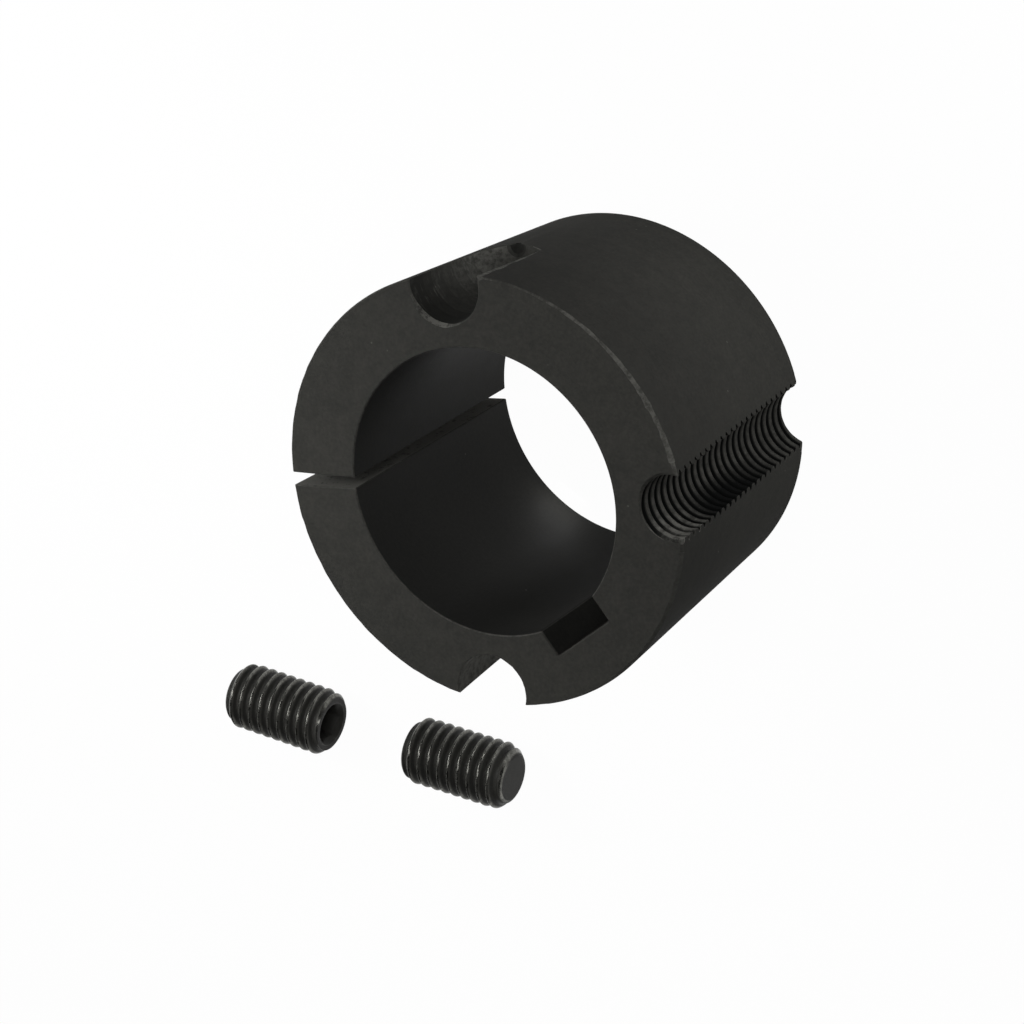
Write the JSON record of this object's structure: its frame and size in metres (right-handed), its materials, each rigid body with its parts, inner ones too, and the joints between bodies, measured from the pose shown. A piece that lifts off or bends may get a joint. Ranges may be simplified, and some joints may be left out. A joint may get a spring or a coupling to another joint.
{
  "type": "split taper clamping bushing",
  "caption": "Split tapered bushing with a keyed bore, blind and threaded half holes in its rim, and loose socket set screws that clamp it between a hub and a shaft.",
  "frame": {"origin": "centre of the small end's face, on the bore's axis, at floor level", "axes": "+Z along the bore from the small end to the large end, +X out through the split"},
  "size_m": [0.0959, 0.0872, 0.0381],
  "materials": {
    "bushing_body": "matte black oxide over turned iron",
    "set_screw": "black oxide steel with bright rubbed thread crests"
  },
  "bodies": {
    "root": {"bushing_body": "bushing_body", "set_screw_1": "set_screw", "set_screw_2": "set_screw"}
  },
  "joints": []
}
